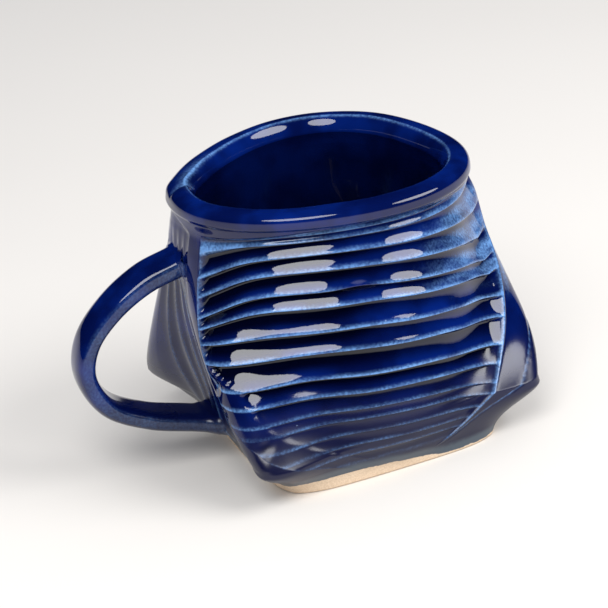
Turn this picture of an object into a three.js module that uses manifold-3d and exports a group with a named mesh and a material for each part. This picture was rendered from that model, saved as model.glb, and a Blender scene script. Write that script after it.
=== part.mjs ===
// A hand-built stoneware shaving mug: a squat cup with a round lip and a four-cornered base, carved
// facets on its sides, a rounded-square foot and a pulled strap handle.
//
// Millimetres, +Z up. The origin is the centre of the foot's underside, on the cup's own axis, and the
// handle points along -X. Angles are in degrees, counted from +X towards +Y.
import * as THREE from "three";
import { mergeVertices } from "three/addons/utils/BufferGeometryUtils.js";
import Module from "manifold-3d";

const wasm = await Module();
wasm.setup();

// ---------------------------------------------------------------- driving dimensions

const HEIGHT = 80; // foot to the top of the lip
const JOINT_GAP = 0.3; // slip joint left between two luted pieces

const SLAB_TOP = 4.2; // thickness of the base slab
const FOOT = { halfWidth: 33.5, cornerReach: 42.5, turn: 4, bevel: 0.8 };

const LIP_BOTTOM = 72; // where the lip coil sits on the wall
const LIP = { radius: 35.8, centreX: -1.5, centreY: -1.1, ridge: -1.2, outer: 3.8, inner: -3.8 };
// The roll's section drops from the ridge by these amounts: full outside, a slope inside.
const ROLL = { outerDrop: 3.2, outerPower: 0.7, under: 2.2, innerDrop: 4.2, innerPower: 1.4 };
const LOBES = { reach: 2, angle: -166 }; // the lip is a soft triangle with one lobe at this angle
const PINCH = { reach: 0.9, angle: 170, width: 10 }; // the corner pinched into the lip by the handle

const NECK = 71; // the corners fade out at this height
const NECK_STEP = 2.4; // how far the wall stands outside the lip's centre line
// Two corners already swell under the lip.
const NECK_SWELLS = [
  { angle: 176, reach: 2.4, width: 16 },
  { angle: -8, reach: 2.4, width: 20 },
];
const BELLY = 12; // the sides are widest at this height
const SIDE_REACH = 39; // axis to the middle of a side, at the belly
const CORNER_WIDTH = { belly: 18.5, neck: 24 }; // half-angle of a corner's bulge

// The four pushed-out corners: where each points at the belly and under the lip, how far it reaches
// from the axis, how high its knob sits above the table, and how early and sharply it sweeps round.
const CORNERS = [
  { name: "handle", belly: -133, neck: -165, reach: 54.3, height: 11, sweep: [1, 1.5] },
  { name: "front", belly: -33, neck: -6, reach: 54.8, height: 13.5, sweep: [1.06, 4] },
  { name: "right", belly: 56, neck: 64, reach: 55, height: 14, sweep: [1, 4] },
  { name: "back", belly: 140, neck: 156, reach: 59.5, height: 16, sweep: [1, 4] },
];
const CORNER_RISE = 0.88; // below 1, the corners come out early on the way down from the neck

// Each facet narrows from the neck to the belly: its first and last edge angle at both heights, how
// sharply each edge turns in, and how much of the full cut it gets. The front and back are carved
// across, the other two are plain cuts.
const FACETS = [
  { first: [-160, -126], last: [-9, -53], turn: [4, 2.6], cut: 1, carved: true },
  { first: [4, -12], last: [58, 46], turn: [3, 3], cut: 0.6, carved: false },
  { first: [68, 78], last: [152, 122], turn: [3, 3], cut: 1, carved: true },
  { first: [162, 152], last: [194, 222], turn: [3, 4], cut: 0.3, carved: false },
];
const FACET_CUT = { neck: 3.4, belly: 1.2 }; // how deep a facet is cut at its middle
const FACET_TOP_RISE = 3.3; // the cut runs up into the lip by this much at its middle

// Levels of the sharp crests that the cutting wire left between its grooves, and how the grooves get
// shallower and start further in near the foot.
const CRESTS = [
  75.4, 73.8, 72.2, 70.4, 66.7, 62.4, 56.9, 52.7, 46, 40, 32.6, 27.7, 23.1, 20.2, 16.4, 13.2, 10.4, 7.2,
];
const GROOVE = { deepest: 2, perPitch: 0.42, valley: 0.14, scoop: 1.8, end: 3 };
const LOW_GROOVE = { from: 40, to: 14, depth: 0.3, leadIn: 8 };

// The wire didn't run level: its cuts hang lower the further they are from two angles, though less so
// low down on the handle's corner, and their first ends hook down near the top.
const SAG = { most: 10.5, levelAngles: [-112, 110], topRun: 14, footRun: 20 };
const LEVELLED = { angle: -150, width: 32, below: 44, full: 24 };
const HOOK = { drop: 5, angles: [-166, 64], width: 17 };

const WALL = { neck: 4.7, belly: 6.2, cornerShare: 0.7 }; // how far inside the outer form
const FLOOR = { radius: 28.5, cove: 9 }; // round floor and the height of the cove round it

// The strap's centre line in the XZ plane, as distance from the axis and height.
const HANDLE_PATH = [
  [44.5, 60.2],
  [53, 57.8],
  [63, 51.8],
  [70.6, 43.5],
  [72.8, 34.5],
  [68.6, 24.5],
  [58, 17.8],
  [45, 13.6],
];
const STRAP = { width: 12.5, topThickness: 6.6, thickness: 5.4 };
const JOINT = { flare: 1.3, length: 11 }; // how much the clay pressed round each end spreads

// ---------------------------------------------------------------- small helpers

const COLUMNS = 72; // facets of every turned form
const RING_ANGLES = Array.from({ length: COLUMNS }, (_, i) => (360 * i) / COLUMNS);
const STRAP_SIDES = 20;

const radians = (degrees) => (degrees * Math.PI) / 180;
const lerp = THREE.MathUtils.lerp;
const clamp01 = (x) => THREE.MathUtils.clamp(x, 0, 1);
const turnBetween = (from, to) => THREE.MathUtils.euclideanModulo(to - from + 180, 360) - 180;
const smooth = (from, to, x) => {
  const t = clamp01((x - from) / (to - from));
  return t * t * (3 - 2 * t);
};
const bell = (offset, width) => (1 + 0.9 * (offset / width) ** 2) ** -2.2;
const dome = (offset, width) => Math.exp(-((offset / width) ** 2));
const polar = (angle, radius, height) =>
  new THREE.Vector3(radius * Math.cos(radians(angle)), radius * Math.sin(radians(angle)), height);

// ---------------------------------------------------------------- the cup's form

// 0 at the neck and 1 at the belly.
const descent = (height) => clamp01((NECK - height) / (NECK - BELLY));

// The lip's centre line: a circle with three soft lobes and a pinched corner.
function lipRadius(angle) {
  const lobes = LOBES.reach * Math.cos(radians(3 * (angle - LOBES.angle)));
  const pinch = PINCH.reach * bell(turnBetween(PINCH.angle, angle), PINCH.width);
  const offset = LIP.centreX * Math.cos(radians(angle)) + LIP.centreY * Math.sin(radians(angle));
  return LIP.radius + lobes + pinch + offset;
}

// A square with soft corners, seen from the axis.
function footRadius(angle) {
  const fromSide = THREE.MathUtils.euclideanModulo(angle - FOOT.turn + 45, 90) - 45;
  const side = FOOT.halfWidth / Math.cos(radians(fromSide));
  const softness = 14;
  return (side ** -softness + FOOT.cornerReach ** -softness) ** (-1 / softness);
}

function cornerAngle(corner, height) {
  const [early, power] = corner.sweep;
  const turned = Math.min(early * descent(height), 1) ** power;
  return corner.neck + turnBetween(corner.neck, corner.belly) * turned;
}

const cornerFade = (corner, height) =>
  clamp01((NECK - height) / (NECK - corner.height)) ** CORNER_RISE;

const cornerBell = (corner, angle, height) => {
  const width = lerp(CORNER_WIDTH.neck, CORNER_WIDTH.belly, cornerFade(corner, height));
  return bell(turnBetween(cornerAngle(corner, height), angle), width);
};

// How far the corners already swell under the lip and into its roll.
function neckSwell(angle, height) {
  const swells = NECK_SWELLS.map((s) => s.reach * bell(turnBetween(s.angle, angle), s.width));
  return (swells[0] + swells[1]) * smooth(50, 66, height) * smooth(HEIGHT - 2, NECK - 1, height);
}

// Outer form before any cutting: a round neck that grows four corners, tucked in to the foot.
function formRadius(angle, height) {
  const shoulder = 0.6 * smooth(LIP_BOTTOM, LIP_BOTTOM + 4, height);
  const neck = lipRadius(angle) + NECK_STEP + shoulder;
  let radius = lerp(neck, SIDE_REACH, Math.min(1.15 * descent(height), 1) ** 0.8);
  radius += neckSwell(angle, height);
  let belly = BELLY;
  for (const corner of CORNERS) {
    const bulge = cornerBell(corner, angle, height);
    radius += (corner.reach - SIDE_REACH) * cornerFade(corner, height) * bulge;
    belly += (corner.height - BELLY) * bulge;
  }
  const tuck = Math.sin((Math.PI / 2) * clamp01((belly - height) / belly)) ** 1.5;
  return lerp(radius, footRadius(angle), tuck);
}

// A facet's first edge and the angle to its last one.
function facetSpan(facet, height) {
  const fall = Math.max((NECK - height) / (NECK - BELLY), 0);
  const [first, last] = [facet.first, facet.last].map(
    ([neck, belly], i) => neck + (belly - neck) * fall ** facet.turn[i],
  );
  return { first, span: last - first };
}

// Depth of the groove at one level: a ledge under the crest above, then a scoop to the crest below.
function grooveDepth(level) {
  const below = CRESTS.findIndex((crest) => crest < level);
  if (below < 1) return 0;
  const pitch = CRESTS[below - 1] - CRESTS[below];
  const down = (CRESTS[below - 1] - level) / pitch;
  const ledge = Math.sin((Math.PI / 2) * Math.min(down / GROOVE.valley, 1));
  const scoop = 1 - clamp01((down - GROOVE.valley) / (1 - GROOVE.valley)) ** GROOVE.scoop;
  const low = lerp(1, LOW_GROOVE.depth, smooth(LOW_GROOVE.from, LOW_GROOVE.to, level));
  return Math.min(GROOVE.deepest, GROOVE.perPitch * pitch) * Math.min(ledge, scoop) * low;
}

// How far the wire's cuts hang below their level; nothing at the wall's two joint faces.
function sag(angle, level) {
  const belowLip = clamp01((LIP_BOTTOM - JOINT_GAP / 2 - level) / SAG.topRun);
  const aboveSlab = clamp01((level - SLAB_TOP - JOINT_GAP) / SAG.footRun);
  const room = Math.sin((Math.PI / 2) * belowLip) * Math.sin((Math.PI / 2) * aboveSlab);
  const aside = Math.min(...SAG.levelAngles.map((a) => Math.abs(turnBetween(a, angle))), 90);
  const low = smooth(LEVELLED.below, LEVELLED.full, level);
  const levelled = 1 - low * dome(turnBetween(LEVELLED.angle, angle), LEVELLED.width);
  const hooked = smooth(42, 58, level) * smooth(LIP_BOTTOM - JOINT_GAP / 2, LIP_BOTTOM - 3, level);
  const hooks = HOOK.angles.reduce((sum, a) => sum + dome(turnBetween(a, angle), HOOK.width), 0);
  return SAG.most * room * levelled * (aside / 90) ** 2 + HOOK.drop * hooked * hooks;
}

// A point of the outer surface, at a level counted along the sagging grooves.
function outerPoint(angle, level) {
  const height = level - sag(angle, level);
  let radius = formRadius(angle, height);
  for (const facet of FACETS) {
    const { first, span } = facetSpan(facet, height);
    const across = turnBetween(first, angle) / span;
    if (across <= 0 || across >= 1) continue;
    const top = LIP_BOTTOM + FACET_TOP_RISE * Math.sin(Math.PI * across);
    const reached = smooth(top, top - 2, height) * smooth(SLAB_TOP, SLAB_TOP + 5, height);
    const arch = Math.sin(Math.PI * across) ** 0.6;
    const cut = lerp(FACET_CUT.neck, FACET_CUT.belly, Math.min(2.2 * descent(height), 1));
    const width = radians(span) * radius;
    const start = LOW_GROOVE.leadIn * smooth(LOW_GROOVE.from, LOW_GROOVE.from - 8, level);
    const ends =
      smooth(start, start + GROOVE.end, across * width) * smooth(0, GROOVE.end, (1 - across) * width);
    radius -= reached * arch * cut * facet.cut;
    if (facet.carved) radius -= reached * ends * grooveDepth(level);
  }
  return polar(angle, radius, height);
}

// The lip's rolled edge, at a turn up from its widest line outside.
function rollPoint(angle, turn) {
  const outside = turn <= 90;
  const power = outside ? ROLL.outerPower : ROLL.innerPower;
  const reach = (outside ? LIP.outer : LIP.inner) - LIP.ridge;
  const out = Math.abs(Math.cos(radians(turn))) ** power;
  const up = Math.abs(Math.sin(radians(turn))) ** power;
  const drop = outside ? ROLL.outerDrop : ROLL.innerDrop;
  const height = turn < 0 ? HEIGHT - ROLL.outerDrop - ROLL.under * up : HEIGHT - drop * (1 - up);
  const swell = outside ? neckSwell(angle, height) : 0;
  return polar(angle, lipRadius(angle) + LIP.ridge + reach * out + swell, height);
}

// The inside follows the corners part of the way and ends in a cove round the floor.
function innerPoint(angle, height) {
  const inset = lerp(WALL.neck, -LIP.inner, smooth(LIP_BOTTOM - 4, LIP_BOTTOM + 3, height));
  let radius = lerp(lipRadius(angle) - inset, SIDE_REACH - WALL.belly, Math.min(1.15 * descent(height), 1));
  for (const corner of CORNERS) {
    const bulge = cornerBell(corner, angle, height) * cornerFade(corner, height);
    radius += WALL.cornerShare * (corner.reach - SIDE_REACH) * bulge;
  }
  const rise = clamp01((height - SLAB_TOP) / FLOOR.cove);
  return polar(angle, lerp(FLOOR.radius, radius, Math.sqrt(rise * (2 - rise))), height);
}

// ---------------------------------------------------------------- geometry builders

// A closed body skinned over rings of equal length. Each ring is a list of points; the body is either
// capped at both ends or joined from its last ring back to its first.
function skin(rings, joined) {
  const size = rings[0].length;
  const positions = rings.flat();
  const index = [];
  const at = (ring, i) => (ring % rings.length) * size + (i % size);
  const steps = joined ? rings.length : rings.length - 1;
  for (let ring = 0; ring < steps; ring++) {
    for (let i = 0; i < size; i++) {
      const corners = [at(ring, i), at(ring, i + 1), at(ring + 1, i + 1), at(ring + 1, i)];
      index.push(corners[0], corners[1], corners[2], corners[0], corners[2], corners[3]);
    }
  }
  const cap = (ring, flip) => {
    const centre = new THREE.Vector3();
    rings[ring].forEach((point) => centre.add(point));
    positions.push(centre.divideScalar(size));
    for (let i = 0; i < size; i++) {
      const edge = [at(ring, i), at(ring, i + 1)];
      if (flip) edge.reverse();
      index.push(positions.length - 1, ...edge);
    }
  };
  if (!joined) {
    cap(0, true);
    cap(rings.length - 1, false);
  }
  const geometry = new THREE.BufferGeometry().setFromPoints(positions);
  geometry.setIndex(index);
  geometry.computeVertexNormals();
  return geometry;
}

const ringOf = (pointAt) => RING_ANGLES.map(pointAt);

// Crest and valley heights between two levels, highest last.
function carvedHeights(from, to) {
  const heights = [];
  CRESTS.forEach((crest, i) => {
    heights.push(crest);
    if (i > 0) heights.push(lerp(CRESTS[i - 1], crest, GROOVE.valley));
  });
  return heights.filter((h) => h > from + 0.4 && h < to - 0.4).sort((a, b) => a - b);
}

function toManifold(geometry) {
  const bare = geometry.clone();
  bare.deleteAttribute("normal");
  bare.deleteAttribute("uv");
  const merged = mergeVertices(bare, 1e-4);
  return new wasm.Manifold(
    new wasm.Mesh({
      numProp: 3,
      vertProperties: new Float32Array(merged.attributes.position.array),
      triVerts: new Uint32Array(merged.index.array),
    }),
  );
}

function toGeometry(manifold) {
  const mesh = manifold.getMesh();
  const geometry = new THREE.BufferGeometry();
  geometry.setAttribute("position", new THREE.BufferAttribute(new Float32Array(mesh.vertProperties), 3));
  geometry.setIndex(new THREE.BufferAttribute(new Uint32Array(mesh.triVerts), 1));
  geometry.computeVertexNormals();
  return geometry;
}

// ---------------------------------------------------------------- the pieces

// Flat slab of bare clay; its underside is what the mug stands on.
function baseSlab() {
  const inset = (angle) => {
    const edge = outerPoint(angle, 0);
    return edge.multiplyScalar(1 - FOOT.bevel / FOOT.halfWidth);
  };
  const heights = [FOOT.bevel, SLAB_TOP / 2, SLAB_TOP];
  const sides = heights.map((height) => ringOf((angle) => outerPoint(angle, height)));
  return skin([ringOf(inset), ...sides], false);
}

// The open tube of the wall: up the carved outside, over the joint face and down the inside.
function facetedWall() {
  const bottom = SLAB_TOP + JOINT_GAP;
  const top = LIP_BOTTOM - JOINT_GAP / 2;
  const outside = [bottom, ...carvedHeights(bottom, top), top];
  const inside = [top, 68, 60, 50, 38, 26, 17, 12, 9, 6.5, bottom];
  return skin(
    [
      ...outside.map((height) => ringOf((angle) => outerPoint(angle, height))),
      ...inside.map((height) => ringOf((angle) => innerPoint(angle, height))),
    ],
    true,
  );
}

// The coil that thickens the rim, cut into from below by the carved facets.
function lipCoil() {
  const bottom = LIP_BOTTOM + JOINT_GAP / 2;
  const outside = [bottom, 73.2, 74.2, 75];
  const rollTurns = [-35, -15, 0, 22, 45, 68, 90, 112, 135, 158, 180];
  const inside = [74.2, bottom];
  return skin(
    [
      ...outside.map((height) => ringOf((angle) => outerPoint(angle, height))),
      ...rollTurns.map((turn) => ringOf((angle) => rollPoint(angle, turn))),
      ...inside.map((height) => ringOf((angle) => innerPoint(angle, height))),
    ],
    true,
  );
}

const handleCurve = new THREE.CatmullRomCurve3(
  HANDLE_PATH.map(([reach, height]) => new THREE.Vector3(-reach, 0, height)),
);

// The strap's section: a soft-cornered bar, flatter on its outer face, standing across the path.
function strapRing(along, spread = 1, slide = 0) {
  const centre = handleCurve.getPointAt(along);
  const tangent = handleCurve.getTangentAt(along);
  const across = new THREE.Vector3(0, 1, 0);
  const outward = new THREE.Vector3().crossVectors(tangent, across);
  centre.addScaledVector(tangent, slide);
  const thickness = lerp(STRAP.topThickness, STRAP.thickness, smooth(0, 0.4, along));
  return Array.from({ length: STRAP_SIDES }, (_, i) => {
    const turn = (2 * Math.PI * i) / STRAP_SIDES;
    const squareness = 0.72;
    const side = Math.sign(Math.cos(turn)) * Math.abs(Math.cos(turn)) ** squareness;
    const face = Math.sign(Math.sin(turn)) * Math.abs(Math.sin(turn)) ** squareness;
    return centre
      .clone()
      .addScaledVector(across, (spread * side * STRAP.width) / 2)
      .addScaledVector(outward, (spread * face * thickness) / 2);
  });
}

function handleStrap() {
  const steps = 28;
  return skin(
    Array.from({ length: steps + 1 }, (_, i) => strapRing(i / steps)),
    false,
  );
}

// The cup's outer form as a solid plug, a slip joint larger all round, that trims the handle's joints.
function cupPlug() {
  const heights = [SLAB_TOP, 8, 12, 16, 22, 30, 38, 46, 54, 62, 68, 71, 75];
  const ring = (height) =>
    ringOf((angle) => {
      const surface = outerPoint(angle, height);
      const radius = Math.hypot(surface.x, surface.y) + JOINT_GAP;
      return polar(angle, radius, surface.z);
    });
  return toManifold(skin(heights.map(ring), false));
}

// Clay pressed round one end of the strap: it starts at the strap's section and spreads on the wall.
function handleJoint(along) {
  const outwards = along === 0 ? -1 : 1;
  const steps = [0, 0.25, 0.5, 0.75, 1];
  const rings = steps.map((step) => {
    const spread = 1.02 + (JOINT.flare - 1) * step ** 2;
    return strapRing(along, spread, outwards * (JOINT_GAP + step * JOINT.length));
  });
  if (along === 0) rings.reverse();
  return toGeometry(toManifold(skin(rings, false)).subtract(cupPlug()));
}

// ---------------------------------------------------------------- assembly

const glaze = (name) =>
  new THREE.MeshStandardMaterial({ name, color: "#10308f", roughness: 0.08, metalness: 0 });
const bareClay = new THREE.MeshStandardMaterial({
  name: "bare_clay",
  color: "#e0d6c6",
  roughness: 0.85,
  metalness: 0,
});

const group = new THREE.Group();
group.name = "shaving_mug";

function addPiece(name, geometry, material) {
  const mesh = new THREE.Mesh(geometry, material);
  mesh.name = name;
  group.add(mesh);
}

addPiece("base_slab", baseSlab(), bareClay);
addPiece("faceted_wall", facetedWall(), glaze("wall_glaze"));
addPiece("lip_coil", lipCoil(), glaze("lip_glaze"));
addPiece("handle_strap", handleStrap(), glaze("handle_glaze"));
addPiece("upper_handle_joint", handleJoint(0), glaze("upper_joint_glaze"));
addPiece("lower_handle_joint", handleJoint(1), glaze("lower_joint_glaze"));

export default group;
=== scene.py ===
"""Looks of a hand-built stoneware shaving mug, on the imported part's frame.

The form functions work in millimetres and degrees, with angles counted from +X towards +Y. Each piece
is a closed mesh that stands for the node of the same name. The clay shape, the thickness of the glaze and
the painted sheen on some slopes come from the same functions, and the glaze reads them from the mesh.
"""

import math

import bpy
import numpy as np
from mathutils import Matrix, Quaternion, Vector


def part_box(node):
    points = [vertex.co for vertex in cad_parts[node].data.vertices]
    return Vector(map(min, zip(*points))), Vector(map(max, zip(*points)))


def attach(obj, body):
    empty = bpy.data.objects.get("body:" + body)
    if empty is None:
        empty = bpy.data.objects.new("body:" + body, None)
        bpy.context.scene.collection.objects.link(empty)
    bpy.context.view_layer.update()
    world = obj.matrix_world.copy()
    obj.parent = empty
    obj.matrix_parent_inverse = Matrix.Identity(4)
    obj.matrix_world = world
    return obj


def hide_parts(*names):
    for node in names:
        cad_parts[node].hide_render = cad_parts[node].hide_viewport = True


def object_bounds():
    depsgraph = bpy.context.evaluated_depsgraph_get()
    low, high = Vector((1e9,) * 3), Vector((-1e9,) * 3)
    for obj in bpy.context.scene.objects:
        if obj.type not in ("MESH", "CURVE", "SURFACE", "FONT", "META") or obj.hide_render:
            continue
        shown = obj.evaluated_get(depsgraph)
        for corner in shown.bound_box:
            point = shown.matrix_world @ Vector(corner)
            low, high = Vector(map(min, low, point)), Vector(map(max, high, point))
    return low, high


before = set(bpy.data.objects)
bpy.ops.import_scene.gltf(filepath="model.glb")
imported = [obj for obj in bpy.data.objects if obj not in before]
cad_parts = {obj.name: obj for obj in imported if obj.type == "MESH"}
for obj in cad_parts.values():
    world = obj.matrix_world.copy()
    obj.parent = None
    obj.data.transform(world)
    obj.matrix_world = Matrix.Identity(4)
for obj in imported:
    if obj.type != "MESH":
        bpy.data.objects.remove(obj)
cad_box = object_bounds()

# ---------------------------------------------------------------- driving dimensions, in mm

MM = 0.001
HEIGHT = cad_box[1].z / MM
SLAB_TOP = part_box("base_slab")[1].z / MM
LIP_BOTTOM = (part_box("faceted_wall")[1].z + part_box("lip_coil")[0].z) / 2 / MM
JOINT_GAP = 0.01  # the glaze runs over the luted joints, so they show no gap

FOOT = {"half_width": 33.5, "corner_reach": 42.5, "turn": 4, "bevel": 0.8}
LIP = {"centre": (-1.5, -1.1), "radius": 35.8, "ridge": -1.2, "outer": 3.8, "inner": -3.8}
ROLL = {"outer_drop": 3.2, "outer_power": 0.7, "under": 2.2, "inner_drop": 4.2, "inner_power": 1.4}
LOBES = {"reach": 2, "angle": -166}  # the lip is slightly three-cornered
PINCH = {"reach": 0.9, "angle": 170, "width": 10}
FOLD = {"depth": 0.7, "width": 1.3, "offset": 4, "lean": 6}  # crease across the lip at the pinch
BEAD_START = -35  # the lip's roll begins this far below its widest line

NECK = 71
NECK_STEP = 2.4
SHOULDER = {"reach": 0.6, "run": 4}  # the neck's last swell up to the lip
NECK_SWELLS = [{"angle": 176, "reach": 2.4, "width": 16}, {"angle": -8, "reach": 2.4, "width": 20}]
NECK_SWELL_RUN = {"from": 50, "to": 66, "below_top": 2, "below_neck": 1}
SPREAD = {"early": 1.15, "power": 0.8}  # how the neck widens into the sides on the way down
TUCK_POWER = 1.5  # how roundly the belly tucks in to the foot
BELLY = 12
SIDE_REACH = 39
CORNER_RISE = 0.88  # below 1, the corners come out early on the way down from the neck
CORNER_WIDTH = {"belly": 18.5, "neck": 24}

# The corners by the handle, at the front, at the right and at the back: their angles at the belly and
# the neck, how far out and how high their knobs are, and how early and how sharply they turn.
CORNERS = [
    {"belly": -133, "neck": -165, "reach": 54.3, "height": 11, "sweep": (1, 1.5)},
    {"belly": -33, "neck": -6, "reach": 54.8, "height": 13.5, "sweep": (1.06, 4)},
    {"belly": 56, "neck": 64, "reach": 55, "height": 14, "sweep": (1, 4)},
    {"belly": 140, "neck": 156, "reach": 59.5, "height": 16, "sweep": (1, 4)},
]

# Edge angles at the neck and the belly, how sharply each edge turns in, how much of the full cut the
# facet gets, and the mesh columns that it and the plain corner after it get.
FACETS = [
    {
        "first": (-160, -126),
        "last": (-9, -53),
        "turn": (4, 2.6),
        "cut": 1,
        "carved": True,
        "columns": (132, 44),
    },
    {
        "first": (4, -12),
        "last": (58, 46),
        "turn": (3, 3),
        "cut": 0.6,
        "carved": False,
        "columns": (56, 20),
    },
    {
        "first": (68, 78),
        "last": (152, 122),
        "turn": (3, 3),
        "cut": 1,
        "carved": True,
        "columns": (84, 16),
    },
    {
        "first": (162, 152),
        "last": (194, 222),
        "turn": (3, 4),
        "cut": 0.3,
        "carved": False,
        "columns": (52, 12),
    },
]
FACET_CUT = {"neck": 3.4, "belly": 1.2, "change": 2.2, "arch_power": 0.6}
FACET_TOP = {"rise": 3.3, "run": 2}
FACET_FOOT_RUN = 5

# Long hollows drawn down the two facets that aren't carved.
FLUTES = {"count": 7, "depth": 0.9, "power": 0.8, "sway": 0.02, "sway_length": 40, "top": 2, "top_run": 14}

# Levels of the crests left between the wire's cuts, where the cuts hang least.
CRESTS = np.array(
    [75.4, 73.8, 72.2, 70.4, 66.7, 62.4, 56.9, 52.7, 46, 40, 32.6, 27.7, 23.1, 20.2, 16.4, 13.2, 10.4, 7.2]
)

# A groove drops to its valley just under the upper crest and scoops out to the lower one.
GROOVE = {"deepest": 2, "per_pitch": 0.42, "valley": 0.14, "scoop": 1.8, "crest_round": 0.35, "end": 1.3}
GROOVE_START_ROUNDING = 0.45  # share of the pitch by which a groove's first end is rounded
LOW_GROOVE = {"from": 40, "to": 14, "depth": 0.3, "lead_in": 8}  # shallower and shorter near the foot
LEAD_IN_RUN = 8  # the lead-in is full this far below where the grooves begin to fade

# The wire didn't run level: its cuts hang lower the further they are from two angles.
SAG = {"most": 10.5, "level_angles": (-112, 110), "top_run": 14, "foot_run": 20}
LEVELLED = {"angle": -150, "width": 32, "below": 44, "full": 24}  # low on this corner they hang less

# The grooves' first ends hang down near the top.
HOOK = {"drop": 5, "angles": (-166, 64), "width": 17, "from": 42, "to": 58, "lip_run": 3}
WANDER = {"height": 0.35, "length": 24}  # the crests waver by this much
UNEVEN = {"wall": 0.22, "inside": 0.3, "length": 30, "lip": 0.12, "lip_length": 20}
FADED_CREST = {"angle": -97, "crest": 6, "half_angle": 9, "reach": 1.5, "depth": 1.2}  # a worn gap

# Raised edge of the front facet on its right, and the crease that runs beside it.
SEAM = {"rise": 0.45, "width": 0.5, "shown": (62, 48), "foot_run": 3}
SECOND_CREASE = {"offset": 6, "spread": 0.45, "depth": 0.3, "width": 0.5, "shown": (36, 26)}

# Thumb marks on the corner by the handle: angle, height, half-width and depth.
MARKS = [
    {"angle": -152.5, "height": 32.5, "size": 2.6, "depth": 1.5},
    {"angle": -149, "height": 25.5, "size": 1.7, "depth": 0.9},
    {"angle": -134, "height": 18, "size": 2.0, "depth": 0.9},
    {"angle": -133.5, "height": 13.5, "size": 2.4, "depth": -0.5},
]

WALL = {"neck": 4.7, "belly": 6.2, "corner_share": 0.7}  # how far inside the outer form
FLOOR = {"radius": 28.5, "cove": 9}  # round floor and the height of the cove round it

# The strap's centre line in the XZ plane, as distance from the axis and height.
HANDLE_PATH = np.array(
    [
        (44.5, 60.2),
        (53, 57.8),
        (63, 51.8),
        (70.6, 43.5),
        (72.8, 34.5),
        (68.6, 24.5),
        (58, 17.8),
        (45, 13.6),
    ]
)
STRAP = {"top_thickness": 6.6, "thickness": 5.4, "outer": 0.55, "inner": 0.8}  # its faces' squareness
STRAP_WIDTH = (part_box("handle_strap")[1].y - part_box("handle_strap")[0].y) / MM
JOINT = {"flare": 1.3, "knuckle": 0.08}  # how the pressed clay widens towards the wall, and bulges

# Where the glaze stops above the foot, and how thin it runs, from 0 to 1, where it breaks on an edge.
GLAZE_LINE = {"mean": 2.6, "swing": 1.7, "highest_at": -112, "waver": 0.25}
THIN_CREST = {"above": 0.85, "below": 0.3, "waver": 0.25, "waver_length": 9}
THIN_ARRIS = {"first": 0.5, "first_width": 0.8, "last": 0.3, "last_width": 0.6}
# Painted sheen: pale glaze colour laid on the lower parts of the scoops, right of the front's middle and
# high up.
SHEEN_ON_SLOPES = {"share": 0.8, "across": (0.5, 0.85), "down": (0.15, 0.6), "levels": (46, 56)}
THIN_LOW = {"share": 0.45, "levels": (36, 18)}
THIN_FLUTE = {"share": 0.55, "width": 0.35}
THIN_SEAM = 0.45
THIN_BAND = {"share": 0.5, "offset": 3.5, "width": 2.5, "shown": (30, 40)}  # beside the front's seam
THIN_FOLD = 0.3
THIN_LIP_EDGE = {"share": 0.6, "turn": 105, "width": 12}
THIN_PINCHED_TOP = {"share": 0.5, "turn": 100, "width": 30, "angle": 158, "half_angle": 22}
THIN_STRAP = {"side": 0.22, "from": 0.8, "uneven": 0.06}
POOLED_FLUTE = 0.3
POOLED_MARK = 0.5
POOLED_INSIDE = 0.6
POOL_GAP = {"share": 0.45, "across": (0.3, 0.55), "levels": (30, 44)}  # pools less in mid front

SOFTBOXES = [
    {"name": "softbox_left", "azimuth": -121, "elevation": 48, "width": 0.52, "height": 0.46},
    {"name": "softbox_right", "azimuth": -38, "elevation": 41, "width": 0.62, "height": 0.44},
]
SOFTBOX_DISTANCE = 0.9  # metres, like the two sizes of each softbox
SOFTBOX_RADIANCE = 8
AIM_HEIGHT = 0.04  # metres
CAMERA = {"azimuth": -16, "elevation": 24, "roll": -7, "distance": 0.62, "lens": 134.4, "sensor": 36}
CAMERA_TARGET = (-0.0101, -0.0018, 0.04)

# ---------------------------------------------------------------- small helpers


def clamp01(x):
    return np.clip(x, 0.0, 1.0)


def lerp(a, b, t):
    return a + (b - a) * t


def smooth(start, end, x):
    t = clamp01((x - start) / (end - start))
    return t * t * (3 - 2 * t)


def turn_between(start, end):
    return (end - start + 180) % 360 - 180


def bell(offset, width):
    return (1 + 0.9 * (offset / width) ** 2) ** -2.2


def dome(offset, width):
    return np.exp(-((offset / width) ** 2))


def polar(angle, radius, height):
    turn = np.radians(angle)
    return np.stack(np.broadcast_arrays(radius * np.cos(turn), radius * np.sin(turn), height), -1)


def ripple(seed, angle, height, length, waves=8):
    """Hand-made unevenness of about -1 to 1 round the mug, in waves about this many mm long."""
    rng = np.random.default_rng(seed)
    place = polar(angle, SIDE_REACH, height)
    total = np.zeros(place.shape[:-1])
    for _ in range(waves):
        direction = rng.normal(size=3)
        direction *= 2 * math.pi / (length * rng.uniform(0.7, 1.4) * np.linalg.norm(direction))
        total += np.sin(place @ direction + rng.uniform(0, 2 * math.pi))
    return total / math.sqrt(2 * waves)


# ---------------------------------------------------------------- the cup's form


def descent(height):
    """0 at the neck and 1 at the belly."""
    return clamp01((NECK - height) / (NECK - BELLY))


def lip_radius(angle):
    turn = np.radians(angle)
    lobes = LOBES["reach"] * np.cos(3 * (turn - math.radians(LOBES["angle"])))
    pinch = PINCH["reach"] * bell(turn_between(PINCH["angle"], angle), PINCH["width"])
    offset = LIP["centre"][0] * np.cos(turn) + LIP["centre"][1] * np.sin(turn)
    return LIP["radius"] + lobes + pinch + offset


def foot_radius(angle):
    from_side = (angle - FOOT["turn"] + 45) % 90 - 45
    side = FOOT["half_width"] / np.cos(np.radians(from_side))
    softness = 14
    return (side**-softness + FOOT["corner_reach"] ** -softness) ** (-1 / softness)


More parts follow.
